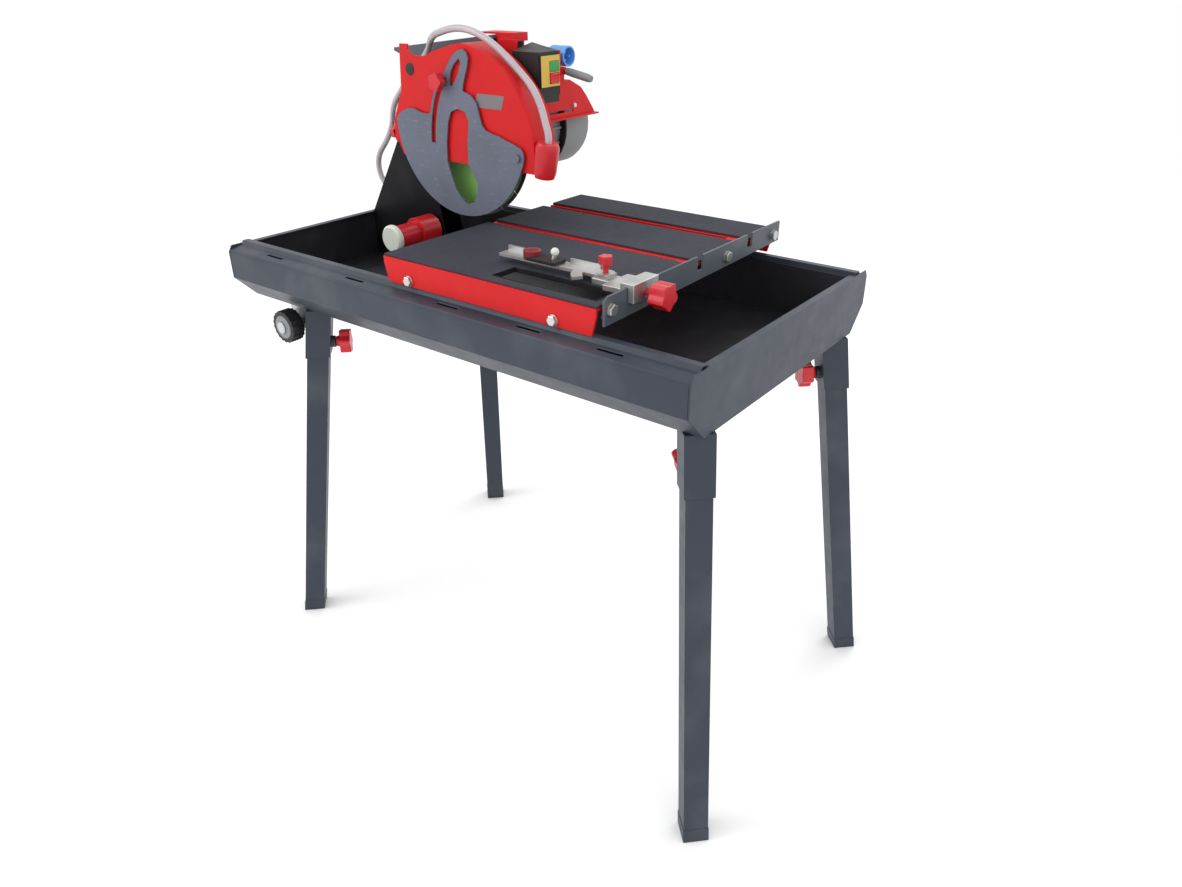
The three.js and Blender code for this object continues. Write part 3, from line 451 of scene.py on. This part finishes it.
def make_hoses():
    clear = M["clear_hose"]
    loop_path = smooth_path(LOOP)
    loop = tube("hose_loop_tube", loop_path, HOSE_R)
    loop.data.materials.append(clear)
    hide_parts("hose_loop")
    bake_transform(loop)
    link = tube("hose_link_tube", smooth_path(LINK), HOSE_R)
    link.data.materials.append(clear)
    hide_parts("hose_link")
    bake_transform(link)
    for node, points in (("hose_head", HEAD), ("hose_supply", SUPPLY)):
        hose = tube(f"{node}_tube", smooth_path(points), HOSE_R)
        dress(hose, BODY_OF[node], clear)
        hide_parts(node)


make_hoses()

# ---------------------------------------------------------------- CAD nodes with finished edges
EDGES = {
    "red_plastic": (0.0018, 3, 40),
    "black_plastic": (0.0012, 3, 33),
    "white_plastic": (0.0008, 2, 33),
    "mat_rubber": (0.0006, 2, 33),
    "cast_aluminium": (0.0014, 3, 33),
}
for node_name in sorted(NODES):
    if node_name.startswith("hose_") or node_name in ("blade", "length_stop"):
        continue
    slot_name = SLOT_OF[node_name]
    refined(node_name, M[slot_name], *EDGES.get(slot_name, (0.0008, 2, 33)))


# ---------------------------------------------------------------- disc
SPINDLE_X = -148
SPINDLE_Z = 1075
CORE_R = 0.143
CORE_THICKNESS = 0.0018
SEGMENT_R = (0.1435, 0.1499)
SEGMENT_THICKNESS = 0.0026
SEGMENT_COUNT = 18
SLIT_WIDTH = 0.002
SLIT_DEPTH = 0.014


def make_disc():
    spindle = place(SPINDLE_X, 0, SPINDLE_Z)
    half_slit = SLIT_WIDTH / CORE_R / 2

    def ring_point(r, a):
        return (r * math.cos(a), r * math.sin(a))

    outline = []
    for i in range(SEGMENT_COUNT):
        a0 = math.tau * i / SEGMENT_COUNT
        a1 = math.tau * (i + 1) / SEGMENT_COUNT
        outline.append(ring_point(CORE_R - SLIT_DEPTH, a0))
        for k in range(9):
            outline.append(ring_point(CORE_R, a0 + half_slit + (a1 - a0 - 2 * half_slit) * k / 8))
    core = plate("disc_core", outline, spindle + Vector((0, CORE_THICKNESS / 2, 0)), (1, 0, 0), (0, 0, 1),
                 CORE_THICKNESS)
    dress(core, "rotor", M["disc_green"])
    for i in range(SEGMENT_COUNT):
        a0 = math.tau * i / SEGMENT_COUNT + half_slit
        a1 = math.tau * (i + 1) / SEGMENT_COUNT - half_slit
        inner, outer = SEGMENT_R
        rim = [ring_point(inner, a0 + (a1 - a0) * k / 6) for k in range(7)]
        rim += [ring_point(outer, a1 + (a0 - a1) * k / 6) for k in range(7)]
        seg = plate(f"disc_segment_{i:02d}", rim, spindle + Vector((0, SEGMENT_THICKNESS / 2, 0)), (1, 0, 0),
                    (0, 0, 1), SEGMENT_THICKNESS)
        dress(seg, "rotor", SEGMENT)
    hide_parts("blade")


make_disc()


# ---------------------------------------------------------------- fasteners and small fittings
def hex_bolt(name, at, axis, across, height, body):
    """Hexagon head on a washer, its seat at a point and its head towards axis."""
    r = across / math.sqrt(3)
    washer = turned(f"{name}_washer", [(across * 0.6, 0), (across * 0.6, 0.0012), (across * 0.3, 0.0012)],
                    at, axis, 28)
    dress(washer, body, BOLT)
    head = turned(f"{name}_head", [(r, 0.0011), (r, height - 0.0008), (r * 0.86, height)], at, axis, 6)
    head.data.set_sharp_from_angle(angle=math.radians(20))
    dress(head, body, BOLT)


def block(name, low, high, body, material, edge=0.0006):
    """A box between two corners given in millimetres from the tray's centre, its edges rounded."""
    a = place(*low)
    b = place(*high)
    outline = [(0, 0), (b.x - a.x, 0), (b.x - a.x, b.z - a.z), (0, b.z - a.z)]
    obj = plate(name, outline, (a.x, b.y, a.z), (1, 0, 0), (0, 0, 1), b.y - a.y)
    soften(obj, edge)
    return dress(obj, body, material)


def disc(name, profile, at, axis, body, material, steps=32):
    """A turned piece, its profile in millimetres."""
    obj = turned(name, [(r / 1000, h / 1000) for r, h in profile], place(*at), axis, steps)
    return dress(obj, body, material)


def make_bolts():
    """Bolts on the deck's roller studs, through the fence, and one on the motor hood."""
    for end, x in (("rear", -43), ("front", 283)):
        hex_bolt(f"stud_{end}_near", place(x, -280.1, 879), (0, -1, 0), 0.0158, 0.0068, "cart")
        hex_bolt(f"stud_{end}_far", place(x, 286.1, 879), (0, 1, 0), 0.0158, 0.0068, "cart")
    for i, y in enumerate((-256, 88, 262)):
        hex_bolt(f"fence_bolt_{i}", place(376.1, y, 909), (1, 0, 0), 0.0178, 0.0075, "cart")
    hex_bolt("hood_screw", place(-45.4, 192, 1118), (1, 0, 0), 0.008, 0.004, "plunge_head")


def make_switch_front():
    """Yellow face round the two buttons: one wide bar, three narrow ones and a rim."""
    for i, (y0, y1, z0, z1) in enumerate((
        (38, 60.6, 1167, 1220), (88.4, 90, 1167, 1220), (60.6, 88.4, 1210.4, 1220),
        (60.6, 88.4, 1167, 1171.6), (60.6, 88.4, 1190.2, 1191.8),
    )):
        block(f"switch_face_{i}", (2.6, y0, z0), (3.4, y1, z1), "plunge_head", YELLOW,
              0.0002)


def make_length_stop():
    """Black slide with a dark red clamp screw and a white ball on a stem, all on the mitre bar."""
    bar_z = 928.3
    body = block("stop_block", (162, -202, bar_z + 5.3), (222, -171, bar_z + 12), "length_stop",
                 M["black_plastic"], 0.001)
    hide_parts("length_stop")
    disc("stop_screw", [(15, 5.3), (15, 19), (13.5, 20)], (162, -186, bar_z), (0, 0, 1), "length_stop",
         DARK_RED)
    disc("stop_stem", [(4, 0), (4, 10)], (208, -186, bar_z + 10), (0.2, 0.1, 0.95), "length_stop",
         BOLT, 16)
    ball = [(7 * math.cos(math.radians(a)), 7 * math.sin(math.radians(a))) for a in range(-80, 81, 20)]
    disc("stop_ball", ball, (210.5, -185, bar_z + 24), (0, 0, 1), "length_stop", M["white_plastic"])


def make_hand_recess():
    """Black pressed rim that lines the hand hole in the deck and its mat."""
    black = M["black_plastic"]
    for i, (x0, x1, y0, y1) in enumerate((
        (136.1, 137.2, -257.9, -202.1), (348.8, 349.9, -257.9, -202.1), (136.1, 349.9, -257.9, -257.1),
        (136.1, 349.9, -202.9, -202.1),
    )):
        block(f"recess_wall_{i}", (x0, y0, 909.5), (x1, y1, 918.6), "cart", black, 0.0002)


def make_wheel_hubs():
    """Grey caps on the outer faces of the two transport wheels."""
    for side, y, axis in (("near", -297.1, (0, -1, 0)), ("far", 297.1, (0, 1, 0))):
        disc(f"hub_{side}", [(24, 0), (23, 1.4), (8.5, 1.8)], (-425, y, 712), axis, f"wheel_{side}",
             M["cowl_grey"])


def make_painted_vent_shade():
    """Ring of thin black plates on the fan cowl's end, painted shade that stands for air slots; no slots are
    cut.
    """
    count = 24
    inner = 0.028
    outer = 0.060
    half = 0.0016
    depth = 0.0003
    end_face = place(SPINDLE_X, 272.05, SPINDLE_Z)
    outline = [(inner, -half), (outer, -half), (outer, half), (inner, half)]
    for i in range(count):
        a = math.tau * i / count
        out = Vector((math.cos(a), 0, math.sin(a)))
        along = Vector((-math.sin(a), 0, math.cos(a)))
        # each black plate is painted shade, laid where the inside of an air slot would show dark
        shade_plate = plate(f"cowl_vent_shade_{i:02d}", outline, end_face + Vector((0, depth, 0)), out, along, depth)
        dress(shade_plate, "plunge_head", M["black_plastic"])


def make_guard_fittings():
    """Dark plug in the guard's ear and a plain printed-label blank on its face."""
    disc("ear_plug", [(11.2, 0), (11.2, 2.4), (9.5, 3)], (-266.5, -30.4, 1190), (0, -1, 0), "plunge_head",
         M["black_plastic"])
    label = plate("guard_label", [(-0.100, 0), (-0.034, 0), (-0.026, 0.024), (-0.092, 0.024)],
                  place(0, -32.1, 1134), (1, 0, 0), (0, 0, 1), 0.0003)
    dress(label, "plunge_head", STICKER)


def make_fittings():
    make_bolts()
    make_switch_front()
    make_length_stop()
    make_hand_recess()
    make_wheel_hubs()
    make_painted_vent_shade()
    make_guard_fittings()


make_fittings()


# ---------------------------------------------------------------- stage
FLOOR_HALF_WIDTH = 40
FLOOR_DROP = 0.0005
WORLD_STRENGTH = 1.05
LIGHT_TARGET = Vector((0, 0, 0.8))
# each light's name, place in metres, side length and power
LIGHTS = (
    ("key", (-2.2, -2.6, 3.2), 2.2, 55),
    ("fill", (3.0, -1.6, 2.6), 2.0, 15),
    ("back", (0.5, 3.0, 2.8), 2.0, 25),
)


def make_stage():
    floor = new_object("floor", bpy.data.meshes.new("floor"))
    bm = bmesh.new()
    bmesh.ops.create_grid(bm, x_segments=1, y_segments=1, size=FLOOR_HALF_WIDTH)
    bm.to_mesh(floor.data)
    bm.free()
    floor.location.z = -FLOOR_DROP
    pale = Surface("pale_floor", (0.97, 0.97, 0.97), 0.8)
    pale.roughen(pale.noise(3, 2), 0.75, 0.9)
    floor.data.materials.append(pale.material)
    world = bpy.data.worlds.new("studio")
    world.use_nodes = True
    world.node_tree.nodes["Background"].inputs["Color"].default_value = (1, 1, 1, 1)
    world.node_tree.nodes["Background"].inputs["Strength"].default_value = WORLD_STRENGTH
    bpy.context.scene.world = world
    for name, at, size, power in LIGHTS:
        data = bpy.data.lights.new(name, "AREA")
        data.shape = "SQUARE"
        data.size = size
        data.energy = power
        light = new_object(name, data)
        light.location = at
        light.rotation_euler = (LIGHT_TARGET - Vector(at)).to_track_quat("-Z", "Y").to_euler()


make_stage()
bpy.context.scene.view_settings.view_transform = "Standard"
